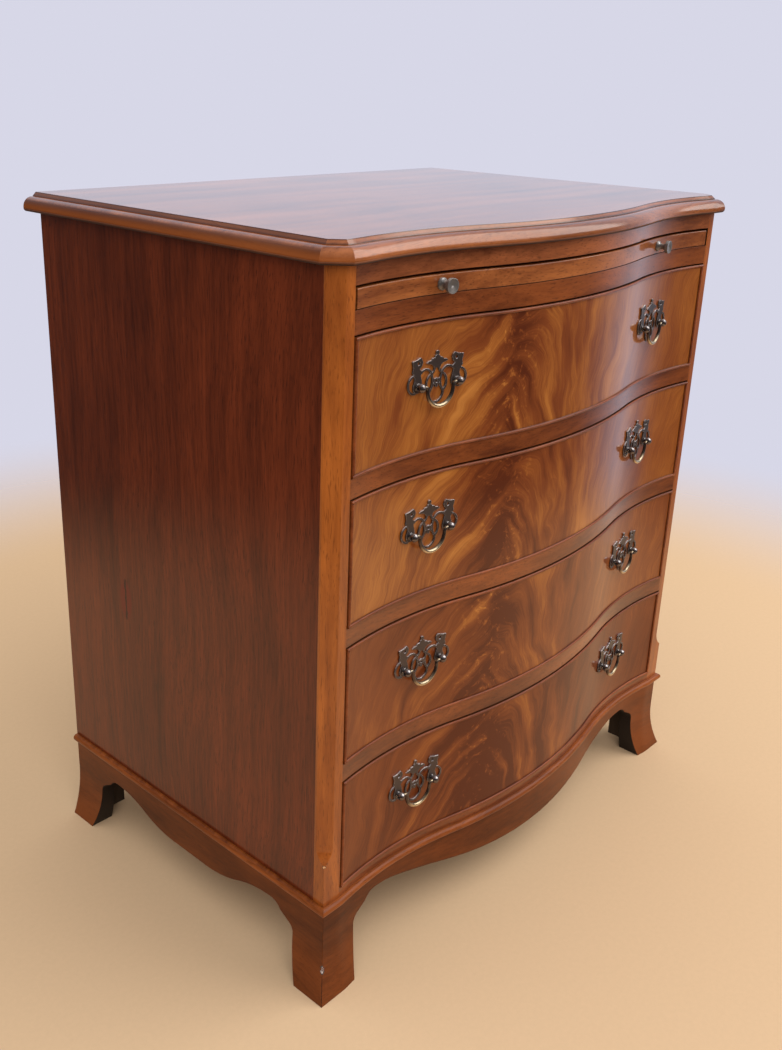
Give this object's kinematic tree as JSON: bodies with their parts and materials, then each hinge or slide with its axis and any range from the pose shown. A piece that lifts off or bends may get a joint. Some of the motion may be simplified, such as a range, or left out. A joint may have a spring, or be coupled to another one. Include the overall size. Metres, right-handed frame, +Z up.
{
  "type": "serpentine chest of drawers",
  "caption": "Serpentine-front mahogany chest of drawers with a pull-out brushing slide, cock-beaded drawers, swinging bail handles on pierced plates and splayed bracket feet.",
  "frame": {"origin": "on the floor, under the middle of the overall box", "axes": "+Z up, -Y out of the serpentine front, +X to the right seen from the front"},
  "size_m": [0.715, 0.5034, 0.8],
  "materials": {
    "mahogany": "french polish",
    "mahogany_veneer": "french polish",
    "mahogany_moulding": "french polish",
    "drawer_oak": "bare",
    "carcase_pine": "bare",
    "bronzed_brass": "aged"
  },
  "bodies": {
    "carcase": {"left_side": "mahogany", "right_side": "mahogany", "left_corner_post": "mahogany", "right_corner_post": "mahogany", "back_panel": "carcase_pine", "bottom_board": "carcase_pine", "frieze_rail": "mahogany", "slide_rail": "mahogany", "drawer_rails": "mahogany", "runners": "carcase_pine", "drawer_stops": "carcase_pine", "top_board": "mahogany", "front_skirt": "mahogany", "left_skirt": "mahogany", "right_skirt": "mahogany", "base_moulding": "mahogany_moulding", "rear_foot_brackets": "carcase_pine", "foot_blocks": "carcase_pine"},
    "slide": {"brushing_slide": "mahogany", "slide_knobs": "bronzed_brass"},
    "drawer_1": {"drawer_1_front": "mahogany_veneer", "drawer_1_cock_bead": "mahogany_moulding", "drawer_1_left_side": "drawer_oak", "drawer_1_right_side": "drawer_oak", "drawer_1_back": "drawer_oak", "drawer_1_bottom": "drawer_oak", "drawer_1_handle_plates": "bronzed_brass", "drawer_1_handle_bolts": "bronzed_brass"},
    "drawer_2": {"drawer_2_front": "mahogany_veneer", "drawer_2_cock_bead": "mahogany_moulding", "drawer_2_left_side": "drawer_oak", "drawer_2_right_side": "drawer_oak", "drawer_2_back": "drawer_oak", "drawer_2_bottom": "drawer_oak", "drawer_2_handle_plates": "bronzed_brass", "drawer_2_handle_bolts": "bronzed_brass"},
    "drawer_3": {"drawer_3_front": "mahogany_veneer", "drawer_3_cock_bead": "mahogany_moulding", "drawer_3_left_side": "drawer_oak", "drawer_3_right_side": "drawer_oak", "drawer_3_back": "drawer_oak", "drawer_3_bottom": "drawer_oak", "drawer_3_handle_plates": "bronzed_brass", "drawer_3_handle_bolts": "bronzed_brass"},
    "drawer_4": {"drawer_4_front": "mahogany_veneer", "drawer_4_cock_bead": "mahogany_moulding", "drawer_4_left_side": "drawer_oak", "drawer_4_right_side": "drawer_oak", "drawer_4_back": "drawer_oak", "drawer_4_bottom": "drawer_oak", "drawer_4_handle_plates": "bronzed_brass", "drawer_4_handle_bolts": "bronzed_brass"},
    "drawer_1_left_bail": {"drawer_1_left_bail": "bronzed_brass"},
    "drawer_1_right_bail": {"drawer_1_right_bail": "bronzed_brass"},
    "drawer_2_left_bail": {"drawer_2_left_bail": "bronzed_brass"},
    "drawer_2_right_bail": {"drawer_2_right_bail": "bronzed_brass"},
    "drawer_3_left_bail": {"drawer_3_left_bail": "bronzed_brass"},
    "drawer_3_right_bail": {"drawer_3_right_bail": "bronzed_brass"},
    "drawer_4_left_bail": {"drawer_4_left_bail": "bronzed_brass"},
    "drawer_4_right_bail": {"drawer_4_right_bail": "bronzed_brass"}
  },
  "joints": [
    {"name": "slide_pull", "type": "slide", "parent": "carcase", "child": "slide", "axis": [0, -1, 0], "range_m": [0, 0.25]},
    {"name": "drawer_1_pull", "type": "slide", "parent": "carcase", "child": "drawer_1", "axis": [0, -1, 0], "range_m": [0, 0.3]},
    {"name": "drawer_2_pull", "type": "slide", "parent": "carcase", "child": "drawer_2", "axis": [0, -1, 0], "range_m": [0, 0.3]},
    {"name": "drawer_3_pull", "type": "slide", "parent": "carcase", "child": "drawer_3", "axis": [0, -1, 0], "range_m": [0, 0.3]},
    {"name": "drawer_4_pull", "type": "slide", "parent": "carcase", "child": "drawer_4", "axis": [0, -1, 0], "range_m": [0, 0.3]},
    {"name": "drawer_1_left_bail_swing", "type": "hinge", "parent": "drawer_1", "child": "drawer_1_left_bail", "pos_m": [-0.20384, -0.22003, 0.65415], "axis": [-0.9938, 0.1108, 0], "range_deg": [0, 90]},
    {"name": "drawer_1_right_bail_swing", "type": "hinge", "parent": "drawer_1", "child": "drawer_1_right_bail", "pos_m": [0.20384, -0.22003, 0.65415], "axis": [-0.9938, -0.1108, 0], "range_deg": [0, 90]},
    {"name": "drawer_2_left_bail_swing", "type": "hinge", "parent": "drawer_2", "child": "drawer_2_left_bail", "pos_m": [-0.20384, -0.22003, 0.50165], "axis": [-0.9938, 0.1108, 0], "range_deg": [0, 90]},
    {"name": "drawer_2_right_bail_swing", "type": "hinge", "parent": "drawer_2", "child": "drawer_2_right_bail", "pos_m": [0.20384, -0.22003, 0.50165], "axis": [-0.9938, -0.1108, 0], "range_deg": [0, 90]},
    {"name": "drawer_3_left_bail_swing", "type": "hinge", "parent": "drawer_3", "child": "drawer_3_left_bail", "pos_m": [-0.20384, -0.22003, 0.34915], "axis": [-0.9938, 0.1108, 0], "range_deg": [0, 90]},
    {"name": "drawer_3_right_bail_swing", "type": "hinge", "parent": "drawer_3", "child": "drawer_3_right_bail", "pos_m": [0.20384, -0.22003, 0.34915], "axis": [-0.9938, -0.1108, 0], "range_deg": [0, 90]},
    {"name": "drawer_4_left_bail_swing", "type": "hinge", "parent": "drawer_4", "child": "drawer_4_left_bail", "pos_m": [-0.20384, -0.22003, 0.19665], "axis": [-0.9938, 0.1108, 0], "range_deg": [0, 90]},
    {"name": "drawer_4_right_bail_swing", "type": "hinge", "parent": "drawer_4", "child": "drawer_4_right_bail", "pos_m": [0.20384, -0.22003, 0.19665], "axis": [-0.9938, -0.1108, 0], "range_deg": [0, 90]}
  ]
}
